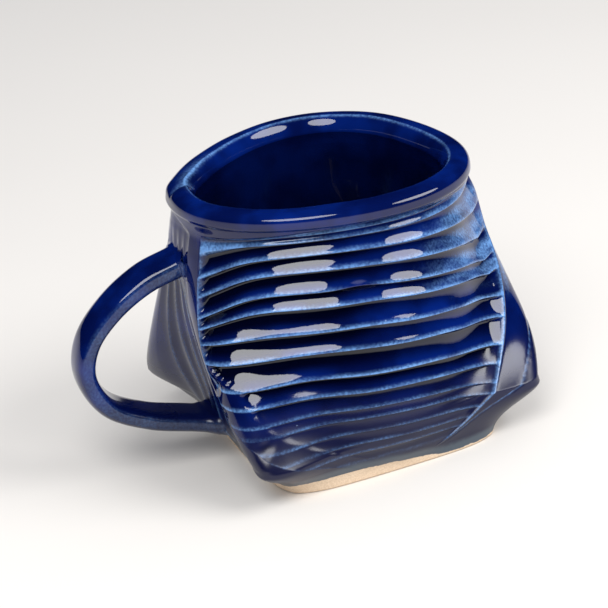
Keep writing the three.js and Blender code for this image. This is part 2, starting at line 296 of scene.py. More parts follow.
def corner_bells(angle, height):
    """Each corner with its fade from the neck down and its bulge at every place."""
    for corner in CORNERS:
        early, power = corner["sweep"]
        sweep = np.minimum(early * descent(height), 1) ** power
        turned = turn_between(corner["neck"], corner["belly"]) * sweep
        fade = clamp01((NECK - height) / (NECK - corner["height"])) ** CORNER_RISE
        width = lerp(CORNER_WIDTH["neck"], CORNER_WIDTH["belly"], fade)
        yield corner, fade, bell(turn_between(corner["neck"] + turned, angle), width)


def neck_swell(angle, height):
    """How far the corners already swell under the lip and into its roll."""
    swells = sum(s["reach"] * bell(turn_between(s["angle"], angle), s["width"]) for s in NECK_SWELLS)
    run = NECK_SWELL_RUN
    below_top = smooth(HEIGHT - run["below_top"], NECK - run["below_neck"], height)
    return swells * smooth(run["from"], run["to"], height) * below_top


def form_radius(angle, height):
    """Outer form before any cutting."""
    shoulder = SHOULDER["reach"] * smooth(LIP_BOTTOM, LIP_BOTTOM + SHOULDER["run"], height)
    neck = lip_radius(angle) + NECK_STEP + shoulder
    spread = np.minimum(SPREAD["early"] * descent(height), 1) ** SPREAD["power"]
    radius = lerp(neck, SIDE_REACH, spread) + neck_swell(angle, height)
    belly = BELLY
    for corner, fade, bulge in corner_bells(angle, height):
        radius = radius + (corner["reach"] - SIDE_REACH) * fade * bulge
        belly = belly + (corner["height"] - BELLY) * bulge
    tuck = np.sin(math.pi / 2 * clamp01((belly - height) / belly)) ** TUCK_POWER
    return lerp(radius, foot_radius(angle), tuck)


def facet_edges(height):
    """Angles of the facets' edges in order round the mug, closing where they began."""
    fall = np.maximum((NECK - height) / (NECK - BELLY), 0)
    edges = []
    for facet in FACETS:
        for (neck, belly), turn in zip((facet["first"], facet["last"]), facet["turn"]):
            edges.append(neck + (belly - neck) * fall**turn)
    return edges + [edges[0] + 360]


def across_facet(facet, angle, height):
    """0 at the facet's first edge and 1 at its last, and the angle between the two."""
    edges = facet_edges(height)
    first = edges[2 * FACETS.index(facet)]
    span = edges[2 * FACETS.index(facet) + 1] - first
    return turn_between(first + span / 2, angle) / span + 0.5, span


def sag(angle, level):
    """How far the cuts hang below level."""
    below_lip = np.sin(math.pi / 2 * clamp01((LIP_BOTTOM - level) / SAG["top_run"]))
    above_slab = np.sin(math.pi / 2 * clamp01((level - SLAB_TOP) / SAG["foot_run"]))
    aside = np.min([np.abs(turn_between(a, angle)) for a in SAG["level_angles"]], axis=0)
    hang = SAG["most"] * below_lip * above_slab * (np.minimum(aside, 90) / 90) ** 2
    low = smooth(LEVELLED["below"], LEVELLED["full"], level)
    hang = hang * (1 - low * dome(turn_between(LEVELLED["angle"], angle), LEVELLED["width"]))
    hooks = sum(dome(turn_between(a, angle), HOOK["width"]) for a in HOOK["angles"])
    window = smooth(HOOK["from"], HOOK["to"], level)
    window = window * smooth(LIP_BOTTOM, LIP_BOTTOM - HOOK["lip_run"], level)
    return hang + HOOK["drop"] * window * hooks


def height_at(angle, level):
    """Real height of a place whose level is counted along the sagging, wavering grooves."""
    rise = clamp01((level - SLAB_TOP) / (LIP_BOTTOM - SLAB_TOP))
    waver = WANDER["height"] * np.sin(math.pi * rise) * ripple(3, angle, level, WANDER["length"])
    return level - sag(angle, level) - waver


def carved_groove(level):
    """Depth of the groove, the way down it from 0 to 1, and its pitch."""
    below = np.clip(np.searchsorted(-CRESTS, -level, side="right"), 1, len(CRESTS) - 1)
    pitch = CRESTS[below - 1] - CRESTS[below]
    down = clamp01((CRESTS[below - 1] - level) / pitch)
    depth = np.minimum(GROOVE["deepest"], GROOVE["per_pitch"] * pitch)
    soft = GROOVE["crest_round"]
    full = np.sqrt((depth + soft) ** 2 - soft**2)
    valley = GROOVE["valley"]
    ledge = np.sin(math.pi / 2 * clamp01(down / valley))
    scoop = 1 - clamp01((down - valley) / (1 - valley)) ** GROOVE["scoop"]
    hollow = np.hypot(full * np.where(down < valley, ledge, scoop), soft) - soft
    hollow = hollow * lerp(1, LOW_GROOVE["depth"], smooth(LOW_GROOVE["from"], LOW_GROOVE["to"], level))
    return hollow * (level < CRESTS[0]) * (level > CRESTS[-1]), down, pitch


def carve(facet, angle, height, level, radius):
    """How deep the wire-cut facet lies under the form, and how thin or pooled the glaze is on it; the thin
    values also hold a painted sheen.
    """
    across, span = across_facet(facet, angle, height)
    inside = (across > 0) & (across < 1)
    run = across * np.radians(span) * radius
    run_back = (1 - across) * np.radians(span) * radius
    top = LIP_BOTTOM + FACET_TOP["rise"] * np.sin(math.pi * clamp01(across))
    reached = inside * smooth(top, top - FACET_TOP["run"], height)
    reached = reached * smooth(SLAB_TOP, SLAB_TOP + FACET_FOOT_RUN, height)
    arch = np.sin(math.pi * clamp01(across)) ** FACET_CUT["arch_power"]
    change = np.minimum(FACET_CUT["change"] * descent(height), 1)
    cut = lerp(FACET_CUT["neck"], FACET_CUT["belly"], change)
    depth = reached * arch * cut * facet["cut"]
    if not facet["carved"]:
        sway = across + FLUTES["sway"] * ripple(11, angle, height, FLUTES["sway_length"])
        wave = np.abs(np.sin(math.pi * FLUTES["count"] * sway))
        top = NECK + FLUTES["top"]
        fade = reached * smooth(top, top - FLUTES["top_run"], height) * arch
        thin = THIN_FLUTE["share"] * fade * dome(wave, THIN_FLUTE["width"])
        return depth + fade * FLUTES["depth"] * wave ** FLUTES["power"], thin, POOLED_FLUTE * fade * wave
    groove, down, pitch = carved_groove(level)
    rounding = GROOVE_START_ROUNDING * pitch * (1 - np.sqrt(1 - np.clip(2 * down - 1, -1, 1) ** 2))
    low = smooth(LOW_GROOVE["from"], LOW_GROOVE["from"] - LEAD_IN_RUN, level)
    start = rounding + LOW_GROOVE["lead_in"] * low
    ends = smooth(start, start + GROOVE["end"], run) * smooth(0, 2 * GROOVE["end"], run_back)
    depth = depth + reached * ends * groove
    waver = THIN_CREST["waver"]
    along_crest = 1 - waver + waver * ripple(17, angle, 4 * level, THIN_CREST["waver_length"])
    above, below = dome((1 - down) * pitch, THIN_CREST["above"]), dome(down * pitch, THIN_CREST["below"])
    crest = np.maximum(above, below)
    # Painted sheen, added to the thin glaze: pale colour on the lower parts of the scoops, right of
    # middle, high on the front.
    painted_sheen = SHEEN_ON_SLOPES["share"] * smooth(*SHEEN_ON_SLOPES["across"], across) * smooth(*SHEEN_ON_SLOPES["down"], down)
    painted_sheen = painted_sheen * smooth(*SHEEN_ON_SLOPES["levels"], level)
    arris = THIN_ARRIS["first"] * dome(run, THIN_ARRIS["first_width"])
    arris = arris + THIN_ARRIS["last"] * dome(run_back, THIN_ARRIS["last_width"])
    thin = reached * np.maximum(np.maximum(crest, painted_sheen) * along_crest, arris)
    thin = thin * lerp(1, THIN_LOW["share"], smooth(*THIN_LOW["levels"], level))
    pooled = reached * ends * groove / GROOVE["deepest"]
    gap = POOL_GAP["share"] * smooth(*POOL_GAP["across"], across) * smooth(*POOL_GAP["levels"], level)
    return depth, thin, pooled * (1 - gap)


def outer_skin(angle, level):
    """Outside of the cup: points, thin glaze with a painted sheen on some slopes, and pooled glaze."""
    height = height_at(angle, level)
    calm = smooth(0, 12, height) * smooth(LIP_BOTTOM + 4, LIP_BOTTOM - 6, height)
    uneven = calm * UNEVEN["wall"] * (1 + ripple(5, angle, height, UNEVEN["length"]))
    radius = form_radius(angle, height) - uneven
    depth = np.zeros_like(radius)
    thin = np.zeros_like(radius)
    pooled = np.zeros_like(radius)
    for facet in FACETS:
        parts = carve(facet, angle, height, level, radius)
        depth, thin, pooled = depth + parts[0], thin + parts[1], pooled + parts[2]
    depth, thin = with_seams(angle, height, radius, depth, thin)
    for mark in MARKS:
        aside = np.radians(turn_between(mark["angle"], angle)) * radius
        spot = dome(np.hypot(aside, height - mark["height"]), mark["size"])
        depth = depth + mark["depth"] * spot
        pooled = pooled + POOLED_MARK * np.sign(mark["depth"]) * spot
    worn = FADED_CREST
    fade = dome(turn_between(worn["angle"], angle), worn["half_angle"])
    fade = fade * dome(level - CRESTS[worn["crest"]], worn["reach"])
    return polar(angle, radius - depth - worn["depth"] * fade, height), thin * (1 - fade), pooled


def with_seams(angle, height, radius, depth, thin):
    """The raised edge at the front facet's right, and the crease that runs beside it."""
    edge = facet_edges(height)[1]
    shown = smooth(*SEAM["shown"], height) * smooth(SLAB_TOP, SLAB_TOP + SEAM["foot_run"], height)
    aside = np.radians(turn_between(edge, angle)) * radius
    ridge = shown * dome(aside, SEAM["width"])
    offset = SECOND_CREASE["offset"] + SECOND_CREASE["spread"] * (height - BELLY)
    beside = np.radians(turn_between(edge + offset, angle)) * radius
    crease = shown * smooth(*SECOND_CREASE["shown"], height) * dome(beside, SECOND_CREASE["width"])
    band = shown * smooth(*THIN_BAND["shown"], height)
    band = band * dome(aside - THIN_BAND["offset"], THIN_BAND["width"])
    depth = depth - SEAM["rise"] * ridge + SECOND_CREASE["depth"] * crease
    return depth, thin + THIN_SEAM * ridge + THIN_BAND["share"] * (crease + band)


def bead_skin(angle, turn):
    """The lip's roll at a turn up from its widest line outside: points, thin glaze and pooled glaze."""
    roll = np.radians(turn)
    outside = turn <= 90
    power = np.where(outside, ROLL["outer_power"], ROLL["inner_power"])
    reach = np.where(outside, LIP["outer"], LIP["inner"]) - LIP["ridge"]
    out = reach * np.abs(np.cos(roll)) ** power
    up = np.abs(np.sin(roll)) ** power
    drop = np.where(outside, ROLL["outer_drop"], ROLL["inner_drop"])
    radius = lip_radius(angle) + LIP["ridge"] + out
    height = HEIGHT - drop * (1 - up)
    height = np.where(turn < 0, HEIGHT - ROLL["outer_drop"] - ROLL["under"] * up, height)
    radius = radius + outside * neck_swell(angle, height)
    aside = turn_between(PINCH["angle"] + FOLD["offset"] + FOLD["lean"] * np.cos(roll), angle)
    fold = dome(np.radians(aside) * radius, FOLD["width"]) * smooth(0, 60, turn) * smooth(180, 140, turn)
    uneven = UNEVEN["lip"] * (1 + ripple(23, angle, height, UNEVEN["lip_length"])) * np.sin(roll).clip(0)
    height = height - FOLD["depth"] * fold - uneven
    edge, top = THIN_LIP_EDGE, THIN_PINCHED_TOP
    inner_edge = edge["share"] * dome(turn - edge["turn"], edge["width"])
    pinched_top = top["share"] * dome(turn - top["turn"], top["width"])
    pinched_top = pinched_top * bell(turn_between(top["angle"], angle), top["half_angle"])
    thin = (inner_edge + pinched_top) * (0.85 + 0.15 * ripple(29, angle, height, 8)) + THIN_FOLD * fold
    return polar(angle, radius, height), thin, np.zeros_like(thin)


def inner_skin(angle, height):
    """Inside of the cup: points, thin glaze and pooled glaze."""
    inset = lerp(WALL["neck"], -LIP["inner"], smooth(LIP_BOTTOM - 4, LIP_BOTTOM + 3, height))
    side = SIDE_REACH - WALL["belly"]
    radius = lerp(lip_radius(angle) - inset, side, np.minimum(SPREAD["early"] * descent(height), 1))
    for corner, fade, bulge in corner_bells(angle, height):
        radius = radius + WALL["corner_share"] * (corner["reach"] - SIDE_REACH) * bulge * fade
    calm = smooth(SLAB_TOP, SLAB_TOP + 10, height) * smooth(LIP_BOTTOM + 4, LIP_BOTTOM - 8, height)
    streaks = ripple(31, angle + 0.8 * height, 0.25 * height, 14)
    radius = radius + calm * UNEVEN["inside"] * streaks
    rise = clamp01((height - SLAB_TOP) / FLOOR["cove"])
    radius = lerp(FLOOR["radius"], radius, np.sqrt(rise * (2 - rise)))
    thin = 0.12 * calm * clamp01(streaks)
    return polar(angle, radius, height + 0 * angle), thin, POOLED_INSIDE + 0 * radius


# ---------------------------------------------------------------- the cup's skin as one grid


def column_shares():
    """For every mesh column, the span between facet edges it lies in and its share of the way across."""
    spans, shares = [], []
    counts = [count for facet in FACETS for count in facet["columns"]]
    for span, count in enumerate(counts):
        even = np.arange(count) / count
        crowding = 0.6 if count > 50 else 0.3
        shares.append(even - crowding * np.sin(2 * math.pi * even) / (2 * math.pi))
        spans.append(np.full(count, span))
    return np.concatenate(spans), np.concatenate(shares)


def column_angles(levels):
    """Angles of the columns at every level, so that columns run along the facets' edges."""
    spans, shares = column_shares()
    level = levels[:, None]
    angle = np.broadcast_to(facet_edges(0.0)[0] + 360 * shares, (len(levels), len(shares)))
    height = np.broadcast_to(level, angle.shape)
    for _ in range(6):
        edges = np.stack(facet_edges(height))
        column = np.arange(len(shares))
        first, last = edges[spans, :, column].T, edges[spans + 1, :, column].T
        angle = lerp(first, last, shares)
        height = height_at(angle, level)
    return angle


def groove_levels():
    """Levels of the outside's mesh rows above the slab, closest where the crests turn over."""
    steps = np.array([0, 0.015, 0.045, 0.09, 0.14, 0.21, 0.31, 0.43, 0.56, 0.69, 0.8, 0.89, 0.96])
    grooves = [upper - steps * (upper - lower) for upper, lower in zip(CRESTS[:-1], CRESTS[1:])]
    foot = np.linspace(CRESTS[-1], SLAB_TOP, 6)
    levels = np.sort(np.concatenate([*grooves, foot]))
    return levels[levels < HEIGHT - ROLL["outer_drop"] - 0.75 * ROLL["under"]]


def cup_skin():
    """The whole skin from the foot's underside, up the outside, over the lip and down to the floor."""
    blocks = {}
    bevel = np.radians(np.linspace(-90, 0, 6))
    foot_heights = FOOT["bevel"] * (1 + np.sin(bevel))
    slab_heights = np.concatenate([foot_heights, np.linspace(FOOT["bevel"], SLAB_TOP, 8)[1:]])
    angle = column_angles(slab_heights)
    points, thin, pooled = outer_skin(angle, slab_heights[:, None])
    worn = FOOT["bevel"] * (1 - np.cos(bevel)) / FOOT["half_width"]
    points[: len(bevel), :, :2] *= 1 - worn[:, None, None]
    blocks["slab"] = (points, thin, pooled)

    levels = groove_levels()
    for name, chosen in (("wall", levels <= LIP_BOTTOM), ("lip", levels > LIP_BOTTOM)):
        rows = np.union1d(levels[chosen], [LIP_BOTTOM])
        rows = rows[rows > SLAB_TOP + 0.01] if name == "wall" else rows[1:]
        blocks[name] = outer_skin(column_angles(rows), rows[:, None])

    turns = np.linspace(BEAD_START, 180, 44)
    neck_angles = column_angles(np.full(len(turns), HEIGHT))
    blocks["bead"] = bead_skin(neck_angles, turns[:, None])

    lip_inside = np.linspace(HEIGHT - ROLL["inner_drop"], LIP_BOTTOM, 8)[1:]
    blocks["lip_inside"] = inner_skin(column_angles(lip_inside), lip_inside[:, None])
    cove = SLAB_TOP + FLOOR["cove"] * (1 - np.cos(np.radians(np.linspace(90, 0, 10))))
    wall_inside = np.concatenate([np.linspace(LIP_BOTTOM, cove[0], 24)[1:], cove[1:]])
    blocks["wall_inside"] = inner_skin(column_angles(wall_inside), wall_inside[:, None])

    edge = blocks["wall_inside"][0][-1]
    shares = np.linspace(1, 0.03, 16)[1:, None, None]
    floor = edge * np.concatenate([shares, shares, np.ones_like(shares)], -1)
    dish = 0.25 * np.sin(math.pi * np.linspace(0, 1, 16)[1:, None])
    floor[..., 2] -= dish
    blocks["floor"] = (floor, np.zeros(floor.shape[:2]), np.full(floor.shape[:2], POOLED_INSIDE))
    return blocks


def grid_normals(points):
    """Normals of a grid that is closed round its columns, to the left of its rising rows."""
    around = np.roll(points, -1, axis=1) - np.roll(points, 1, axis=1)
    normal = np.cross(around, np.gradient(points, axis=0))
    return normal / np.maximum(np.linalg.norm(normal, axis=-1, keepdims=True), 1e-12)


# ---------------------------------------------------------------- meshes


def ring_faces(rows, columns, first=0):
    """Quads between neighbouring rows of a grid that is closed round its columns."""
    row, column = np.meshgrid(np.arange(rows - 1), np.arange(columns), indexing="ij")
    beside = (column + 1) % columns
    corners = [row * columns + column, row * columns + beside]
    corners += [(row + 1) * columns + beside, (row + 1) * columns + column]
    return first + np.stack(corners, -1).reshape(-1, 4)


def cap_faces(ring, centre):
    """A fan from a ring of vertices to one in its middle."""
    return np.stack([ring, np.roll(ring, -1), np.full(len(ring), centre)], -1)


class Piece:
    """A closed mesh gathered from grids of points with their normals and glaze values."""

    def __init__(self, name, slot):
        self.name = name
        self.slot = slot
        self.points = []
        self.normals = []
        self.values = {"thin": [], "pooled": [], "above_line": []}
        self.faces = []
        self.count = 0

    def add_points(self, points, normals, thin=0.0, pooled=0.0):
        flat = points.reshape(-1, 3)
        first = self.count
        self.points.append(flat)
        self.normals.append(normals.reshape(-1, 3))
        self.values["thin"].append(np.broadcast_to(thin, points.shape[:-1]).ravel())
        self.values["pooled"].append(np.broadcast_to(pooled, points.shape[:-1]).ravel())
        self.values["above_line"].append(above_glaze_line(flat))
        self.count += len(flat)
        return first

    def add_grid(self, points, normals, thin, pooled):
        """A strip of skin; gives back the vertices of its first and last rows."""
        rows, columns = points.shape[:2]
        first = self.add_points(points, normals, thin, pooled)
        self.faces.append((ring_faces(rows, columns, first), False))
        row = first + np.arange(columns)
        return row, row + (rows - 1) * columns

    def add_join(self, upper, lower):
        """A hidden joint face between two rows of vertices."""
        faces = np.stack([upper, np.roll(upper, -1), np.roll(lower, -1), lower], -1)
        self.faces.append((faces, True))

    def add_cap(self, ring, middle, normal, flat=True):
        """A fan that closes the piece at one end."""
        centre = self.add_points(np.array([[middle]]), np.array([[normal]], float))
        self.faces.append((cap_faces(ring, centre), flat))

    def build(self, material):
        """Make the mesh, kept inside the CAD model's box, parent it to the root body and hide the CAD part
        it stands in for.
        """
        points = np.concatenate(self.points) * MM
        points = np.clip(points, np.array(cad_box[0]), np.array(cad_box[1]))
        mesh = bpy.data.meshes.new(self.name)
        mesh.from_pydata(points.tolist(), [], [f for faces, _ in self.faces for f in faces.tolist()])
        mesh.shade_smooth()
        normals = np.concatenate(self.normals)
        corners = []
        for faces, flat in self.faces:
            corner = normals[faces]
            if flat:
                a, b, c = (points[faces[:, i]] for i in range(3))
                plain = np.cross(b - a, c - a)
                plain /= np.maximum(np.linalg.norm(plain, axis=-1, keepdims=True), 1e-18)
                corner = np.broadcast_to(plain[:, None], corner.shape)
            corners.append(corner.reshape(-1, 3))
        mesh.normals_split_custom_set(np.concatenate(corners).tolist())
        for name, parts in self.values.items():
            attribute = mesh.attributes.new(name, "FLOAT", "POINT")
            attribute.data.foreach_set("value", np.concatenate(parts).astype(np.float32))
        mesh.materials.append(material)
        piece = bpy.data.objects.new(self.name + "_fine", mesh)
        bpy.context.scene.collection.objects.link(piece)
        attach(piece, "root")
        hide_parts(self.name)


def above_glaze_line(points):
    """Height in mm over the wavering line where the glaze stops above the foot."""
    angle = np.degrees(np.arctan2(points[:, 1], points[:, 0]))
    swing = GLAZE_LINE["swing"] * np.cos(3 * np.radians(angle - GLAZE_LINE["highest_at"]))
    waver = GLAZE_LINE["waver"] * ripple(41, angle, 0 * angle, 9)
    return points[:, 2] - (GLAZE_LINE["mean"] + swing + waver)


def cup_pieces():
    """The slab, the wall and the lip, cut from one skin so that it runs on over their joints."""
    blocks = cup_skin()
    names = ["slab", "wall", "lip", "bead", "lip_inside", "wall_inside", "floor"]
    skin = np.concatenate([blocks[name][0] for name in names])
    normals = grid_normals(skin)
    thin = np.concatenate([blocks[name][1] for name in names])
    pooled = np.concatenate([blocks[name][2] for name in names])
    ends = np.cumsum([len(blocks[name][0]) for name in names])
    slab_end, wall_end, _, _, lip_end, cup_end, floor_end = ends

    def part(first, last, lift_first=0.0, lift_last=0.0):
        """Rows first to last, whose end rows stand off the next piece by half the joint gap."""
        points = skin[first:last].copy()
        points[0, :, 2] += lift_first
        points[-1, :, 2] += lift_last
        return points, normals[first:last], thin[first:last], pooled[first:last]

    half = JOINT_GAP / 2
    slab = Piece("base_slab", "base_slab")
    underside, side_top = slab.add_grid(*part(0, slab_end, 0, -half))
    floor_edge, middle = slab.add_grid(*part(cup_end - 1, floor_end, -half, 0))
    slab.add_join(side_top, floor_edge)
    slab.add_cap(middle, skin[-1].mean(0), (0, 0, 1), flat=False)
    slab.add_cap(underside[::-1], (0, 0, 0), (0, 0, -1))

    wall = Piece("faceted_wall", "faceted_wall")
    bottom, top = wall.add_grid(*part(slab_end - 1, wall_end, half, -half))
    inner_top, inner_bottom = wall.add_grid(*part(lip_end - 1, cup_end, -half, half))
    wall.add_join(top, inner_top)
    wall.add_join(inner_bottom, bottom)

    lip = Piece("lip_coil", "lip_coil")
    outer, inner = lip.add_grid(*part(wall_end - 1, lip_end, half, half))
    lip.add_join(inner, outer)
    return [slab, wall, lip]


# ---------------------------------------------------------------- the handle


def handle_line(count):
    """Points and tangents at even steps along the strap's centre line, in the XZ plane."""
    path = np.stack([-HANDLE_PATH[:, 0], 0 * HANDLE_PATH[:, 0], HANDLE_PATH[:, 1]], -1)
    path = np.concatenate([[2 * path[0] - path[1]], path, [2 * path[-1] - path[-2]]])
    dense = []
    for p0, p1, p2, p3 in zip(path[:-3], path[1:-2], path[2:-1], path[3:]):
        d0, d1, d2 = (math.sqrt(np.linalg.norm(b - a)) for a, b in ((p0, p1), (p1, p2), (p2, p3)))
        leave = ((p1 - p0) / d0 - (p2 - p0) / (d0 + d1) + (p2 - p1) / d1) * d1
        reach = ((p2 - p1) / d1 - (p3 - p1) / (d1 + d2) + (p3 - p2) / d2) * d1
        t = np.linspace(0, 1, 80, endpoint=False)[:, None]
        curve = p1 + leave * t + (3 * (p2 - p1) - 2 * leave - reach) * t**2
        dense.append(curve + (2 * (p1 - p2) + leave + reach) * t**3)
    dense = np.concatenate([*dense, path[-2:-1]])
    travelled = np.concatenate([[0], np.cumsum(np.linalg.norm(np.diff(dense, axis=0), axis=1))])
    wanted = np.linspace(0, travelled[-1], count)
    line = np.stack([np.interp(wanted, travelled, dense[:, axis]) for axis in range(3)], -1)
    tangent = np.gradient(line, axis=0)
    return line, tangent / np.linalg.norm(tangent, axis=1, keepdims=True)


def strap_section(along, sides):
    """Offsets across and outward of the strap's section, and how far round to its side each point is."""
    turn = np.linspace(0, 2 * math.pi, sides, endpoint=False)
    thickness = lerp(STRAP["top_thickness"], STRAP["thickness"], smooth(0, 0.4, along))
    squareness = np.where(np.sin(turn) > 0, STRAP["outer"], STRAP["inner"])
    side = np.sign(np.cos(turn)) * np.abs(np.cos(turn)) ** squareness
    face = np.sign(np.sin(turn)) * np.abs(np.sin(turn)) ** squareness
    return side * STRAP_WIDTH / 2, face * thickness / 2, np.abs(side)


def surface_radius(angle, height):
    """Radius of the cup's outside at a real height, found by stepping to its level."""
    level = height
    for _ in range(8):
        level = level + height - height_at(angle, level)
    skin = outer_skin(angle, level)[0]
    return np.hypot(skin[..., 0], skin[..., 1])


def distance_to_cup(start, direction):
    """How far each point travels along the direction until it meets the cup."""
    near, far = np.zeros(len(start)), np.full(len(start), 25.0)
    for _ in range(24):
        middle = (near + far) / 2
        at = start + direction * middle[:, None]
        angle = np.degrees(np.arctan2(at[:, 1], at[:, 0]))
        outside = np.hypot(at[:, 0], at[:, 1]) > surface_radius(angle, at[:, 2])
        near, far = np.where(outside, middle, near), np.where(outside, far, middle)
    return near - 2 * JOINT_GAP


def handle_pieces():
    """The strap and the clay at its two ends, cut from one tube that runs into the cup's wall."""
    sides, steps, joint_rows = 48, 190, 22
    line, tangent = handle_line(steps)
    across = np.array([0.0, 1.0, 0.0])
    outward = np.cross(tangent, across)

    def ring(index, spread=1.0):
        side, face, _ = strap_section(index / (steps - 1), sides)
        return spread * (side[:, None] * across + face[:, None] * outward[index])

    strap_rows = np.stack([line[i] + ring(i) for i in range(steps)])
    travel = np.linspace(0, 1, joint_rows)[1:]
    joints, caps = [], []
    for index, direction in ((0, -tangent[0]), (steps - 1, tangent[-1])):
        rim = line[index] + ring(index, JOINT["flare"])
        reach = distance_to_cup(rim, direction)
        spread = 1 + (JOINT["flare"] - 1) * travel**3 + JOINT["knuckle"] * dome(travel - 0.55, 0.2)
        rows = [
            line[index] + ring(index, s) + direction * (t * reach)[:, None]
            for t, s in zip(travel, spread)
        ]
        joints.append(np.stack(rows))
        core = np.array([line[index]])
        caps.append((core + direction * distance_to_cup(core, direction)[:, None])[0])
    grid = np.concatenate([joints[0][::-1], strap_rows, joints[1]])
    normals = -grid_normals(grid)
    side_face = strap_section(0.5, sides)[2]
    thin = np.broadcast_to(THIN_STRAP["side"] * smooth(THIN_STRAP["from"], 1, side_face), grid.shape[:2])
    thin = thin + THIN_STRAP["uneven"] * clamp01(ripple(47, 3 * grid[..., 2], grid[..., 0], 12))
    pooled = np.zeros(grid.shape[:2])
    first, last = joint_rows - 1, joint_rows - 1 + steps
    pieces = []
    for name, start, end in (
        ("upper_handle_joint", 0, first + 1),
        ("handle_strap", first, last),
        ("lower_handle_joint", last - 1, len(grid)),
    ):
        piece = Piece(name, name)
        points = grid[start:end].copy()
        if name == "upper_handle_joint":
            points[-1] -= JOINT_GAP * tangent[0]
        if name == "lower_handle_joint":
            points[0] += JOINT_GAP * tangent[-1]
        head = caps[0] if name == "upper_handle_joint" else points[0].mean(0)
        tail = caps[1] if name == "lower_handle_joint" else points[-1].mean(0)
        values = (part[start:end, ::-1] for part in (normals, thin, pooled))
        begin, finish = piece.add_grid(points[:, ::-1], *values)
        piece.add_cap(begin[::-1], head, -tangent[0])
        piece.add_cap(finish, tail, tangent[-1])
        pieces.append(piece)
    return pieces


# ---------------------------------------------------------------- materials


class Nodes:
    """Shorthand for a material's node tree."""

    def __init__(self, name):
        self.material = bpy.data.materials.new(name)
        self.material.use_nodes = True
        self.tree = self.material.node_tree
        self.shader = self.tree.nodes["Principled BSDF"]
        self.place = self.tree.nodes.new("ShaderNodeTexCoord").outputs["Object"]

    def add(self, kind, inputs=(), **settings):
        node = self.tree.nodes.new(kind)
        for key, value in settings.items():
            setattr(node, key, value)
        for key, value in dict(inputs).items():
            if isinstance(value, bpy.types.NodeSocket):
                self.tree.links.new(value, node.inputs[key])
            else:
                node.inputs[key].default_value = value
        return node

    def noise(self, length_mm, detail=3.0, roughness=0.5):
        """Noise with features about this many mm long."""
        inputs = {"Vector": self.place, "Scale": 1 / (length_mm * MM), "Detail": detail}
        return self.add("ShaderNodeTexNoise", {**inputs, "Roughness": roughness}).outputs["Fac"]

    def between(self, value, low, high, start=0.0, end=1.0):
        inputs = {"Value": value, "From Min": low, "From Max": high, "To Min": start, "To Max": end}
        ramp = self.add("ShaderNodeMapRange", inputs, interpolation_type="SMOOTHSTEP")
        return ramp.outputs["Result"]

    def math(self, operation, a, b):
        return self.add("ShaderNodeMath", {0: a, 1: b}, operation=operation).outputs["Value"]

    def mix(self, share, a, b):
        """Colour a where share is 0 and b where it is 1."""
        node = self.add("ShaderNodeMix", data_type="RGBA")
        for socket, value in ((0, share), (6, a), (7, b)):
            if isinstance(value, bpy.types.NodeSocket):
                self.tree.links.new(value, node.inputs[socket])
            elif socket == 0:
                node.inputs[0].default_value = value
            else:
                node.inputs[socket].default_value = (*value, 1)
        return node.outputs[2]

    def value_of(self, name):
        return self.add("ShaderNodeAttribute", attribute_name=name).outputs["Fac"]

    def specks(self, spacing_mm, radius_mm, kept):
        """1 inside sparse round specks; kept is the share of cells that have one."""
        inputs = {"Vector": self.place, "Scale": 1 / (spacing_mm * MM), "Randomness": 1.0}
        cells = self.add("ShaderNodeTexVoronoi", inputs, voronoi_dimensions="3D").outputs
        chance = self.add("ShaderNodeSeparateColor", {"Color": cells["Color"]}).outputs["Red"]
        radius = radius_mm / spacing_mm
        spot = self.between(cells["Distance"], 0.6 * radius, radius, 1, 0)
        return self.math("MULTIPLY", spot, self.math("LESS_THAN", chance, kept))

    def bump(self, height, depth_mm, normal=None):
        inputs = {"Height": height, "Distance": depth_mm * MM, "Strength": 1.0}
        if normal is not None:
            inputs["Normal"] = normal
        return self.add("ShaderNodeBump", inputs).outputs["Normal"]


COBALT = (0.0012, 0.012, 0.13)
COBALT_DEEP = (0.0007, 0.002, 0.028)
COBALT_THIN = (0.13, 0.28, 0.58)
COBALT_POOL = (0.0003, 0.0008, 0.008)
CLAY = (0.78, 0.62, 0.46)
CLAY_DARK = (0.6, 0.45, 0.31)
WASH = (0.055, 0.075, 0.1)  # glaze too thin to turn blue, just above the foot
WASH_HEIGHTS = (1.2, 3.4)
FLOOR_TONES = ((0.72, 0.69, 0.65), (0.76, 0.73, 0.69))
ROOM_COLOUR = (0.93, 0.95, 1.0, 1)
ROOM_STRENGTH = 0.75
GLAZE_IOR = 1.52
ROUGHNESS = {"glossy": 0.035, "satin": 0.3, "clay": 0.8, "floor": 0.9}
SATIN_HEIGHTS = (14, 28)  # satin up to the first, glossy from the second


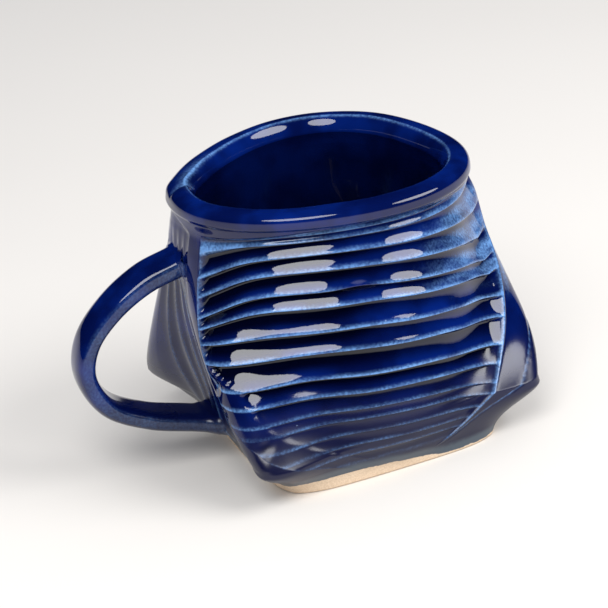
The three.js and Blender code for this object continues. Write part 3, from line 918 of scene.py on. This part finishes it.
def glaze(name):
    """Cobalt glaze: near black where it pools, pale where it breaks over edges, satin low down; painted
    darker towards the foot, with a painted sheen on some slopes and painted glints on its pinhole specks.
    """
    n = Nodes(name)
    field = n.mix(n.between(n.noise(16), 0.35, 0.65, 0.2, 1), COBALT_DEEP, COBALT)
    above = n.value_of("above_line")
    # Painted dark reflection: the glaze colour darkens towards the foot.
    field = n.mix(n.between(above, 8, 38), COBALT_DEEP, field)
    pool = n.between(n.value_of("pooled"), 0.15, 0.85)
    field = n.mix(pool, field, COBALT_POOL)
    mottle = n.between(n.noise(0.7, 4, 0.6), 0.3, 0.7, 0.6, 1.2)
    # The thin values hold the thin glaze and the painted sheen from the front's upper slopes.
    thin = n.math("MULTIPLY", n.value_of("thin"), mottle)
    field = n.mix(n.between(thin, 0.05, 1.0), field, COBALT_THIN)
    wash = n.math("SUBTRACT", 1.0, n.between(above, *WASH_HEIGHTS))
    field = n.mix(wash, field, WASH)
    pinholes_and_painted_glints = n.specks(9, 0.32, 0.3)
    # Painted glints: each pinhole speck gets a pale dot in the colour, while the bump below dents the
    # glaze there.
    field = n.mix(n.math("MULTIPLY", pinholes_and_painted_glints, 0.5), field, COBALT_THIN)
    n.tree.links.new(field, n.shader.inputs["Base Color"])
    gloss = n.between(above, *SATIN_HEIGHTS, ROUGHNESS["satin"], ROUGHNESS["glossy"])
    n.tree.links.new(gloss, n.shader.inputs["Roughness"])
    n.shader.inputs["IOR"].default_value = GLAZE_IOR
    orange_peel = n.bump(n.noise(2.2, 2), 0.012)
    pitted = n.bump(n.math("SUBTRACT", 1.0, pinholes_and_painted_glints), 0.06, orange_peel)
    n.tree.links.new(n.bump(n.noise(0.35, 2), 0.0015, pitted), n.shader.inputs["Normal"])
    return n.material


def clay_with_glaze(name):
    """Bare stoneware below the glaze line and the glaze's thin lower edge above it."""
    n = Nodes(name)
    grain = n.noise(0.5, 4, 0.7)
    bare = n.mix(n.between(grain, 0.3, 0.75), CLAY, CLAY_DARK)
    bare = n.mix(n.between(n.noise(9), 0.4, 0.7, 0, 0.35), bare, CLAY_DARK)
    above = n.math("ADD", n.value_of("above_line"), n.between(n.noise(1.6, 3), 0.2, 0.8, -0.2, 0.2))
    n.tree.links.new(bare, n.shader.inputs["Base Color"])
    n.shader.inputs["Roughness"].default_value = ROUGHNESS["clay"]
    n.tree.links.new(n.bump(grain, 0.05), n.shader.inputs["Normal"])
    glazed = n.add("ShaderNodeBsdfPrincipled", {"Roughness": ROUGHNESS["satin"], "IOR": GLAZE_IOR})
    colour = n.mix(n.between(above, *WASH_HEIGHTS), WASH, COBALT_DEEP)
    n.tree.links.new(colour, glazed.inputs["Base Color"])
    blend = n.add("ShaderNodeMixShader", {0: n.between(above, -0.12, 0.12)})
    n.tree.links.new(n.shader.outputs[0], blend.inputs[1])
    n.tree.links.new(glazed.outputs[0], blend.inputs[2])
    n.tree.links.new(blend.outputs[0], n.tree.nodes["Material Output"].inputs["Surface"])
    return n.material


# ---------------------------------------------------------------- stage


def add_floor():
    bpy.ops.mesh.primitive_plane_add(size=12)
    floor = bpy.context.object
    floor.name = "floor"
    n = Nodes("pale_floor")
    tone = n.mix(n.noise(240, 2), *FLOOR_TONES)
    n.tree.links.new(tone, n.shader.inputs["Base Color"])
    n.shader.inputs["Roughness"].default_value = ROUGHNESS["floor"]
    floor.data.materials.append(n.material)


def add_softbox(name, azimuth, elevation, width, height):
    """An oval light facing the mug, from an angle counted from +X."""
    light = bpy.data.lights.new(name, "AREA")
    light.shape = "ELLIPSE"
    light.size, light.size_y = width, height
    light.energy = SOFTBOX_RADIANCE * math.pi**2 / 4 * width * height
    lamp = bpy.data.objects.new(name, light)
    turn, rise = math.radians(azimuth), math.radians(elevation)
    towards = Vector((math.cos(turn) * math.cos(rise), math.sin(turn) * math.cos(rise), math.sin(rise)))
    lamp.location = Vector((0, 0, AIM_HEIGHT)) + towards * SOFTBOX_DISTANCE
    lamp.rotation_mode = "QUATERNION"
    lamp.rotation_quaternion = towards.to_track_quat("Z", "Y")
    bpy.context.scene.collection.objects.link(lamp)


def add_studio():
    """Two softboxes; the room's even light reaches the clay but doesn't mirror in the glaze."""
    for softbox in SOFTBOXES:
        add_softbox(**softbox)
    world = bpy.data.worlds.new("room")
    world.use_nodes = True
    background = world.node_tree.nodes["Background"]
    background.inputs["Color"].default_value = ROOM_COLOUR
    background.inputs["Strength"].default_value = ROOM_STRENGTH
    world.cycles_visibility.glossy = False
    bpy.context.scene.world = world


def add_camera():
    azimuth, elevation, roll = (math.radians(CAMERA[name]) for name in ("azimuth", "elevation", "roll"))
    flat = math.cos(elevation)
    back = Vector((math.sin(azimuth) * flat, -math.cos(azimuth) * flat, math.sin(elevation)))
    camera = bpy.data.objects.new("camera", bpy.data.cameras.new("camera"))
    camera.location = Vector(CAMERA_TARGET) + back * CAMERA["distance"]
    camera.rotation_mode = "QUATERNION"
    camera.rotation_quaternion = back.to_track_quat("Z", "Y") @ Quaternion((0, 0, 1), roll)
    camera.data.lens = CAMERA["lens"]
    camera.data.sensor_width = CAMERA["sensor"]
    camera.data.clip_start = 0.05
    bpy.context.scene.collection.objects.link(camera)
    bpy.context.scene.camera = camera


# ---------------------------------------------------------------- assembly

cobalt_glaze = glaze("cobalt_glaze")
foot_clay = clay_with_glaze("foot_clay")
for piece in cup_pieces() + handle_pieces():
    piece.build(foot_clay if piece.name == "base_slab" else cobalt_glaze)

add_floor()
add_studio()
add_camera()
bpy.context.scene.view_settings.view_transform = "Standard"
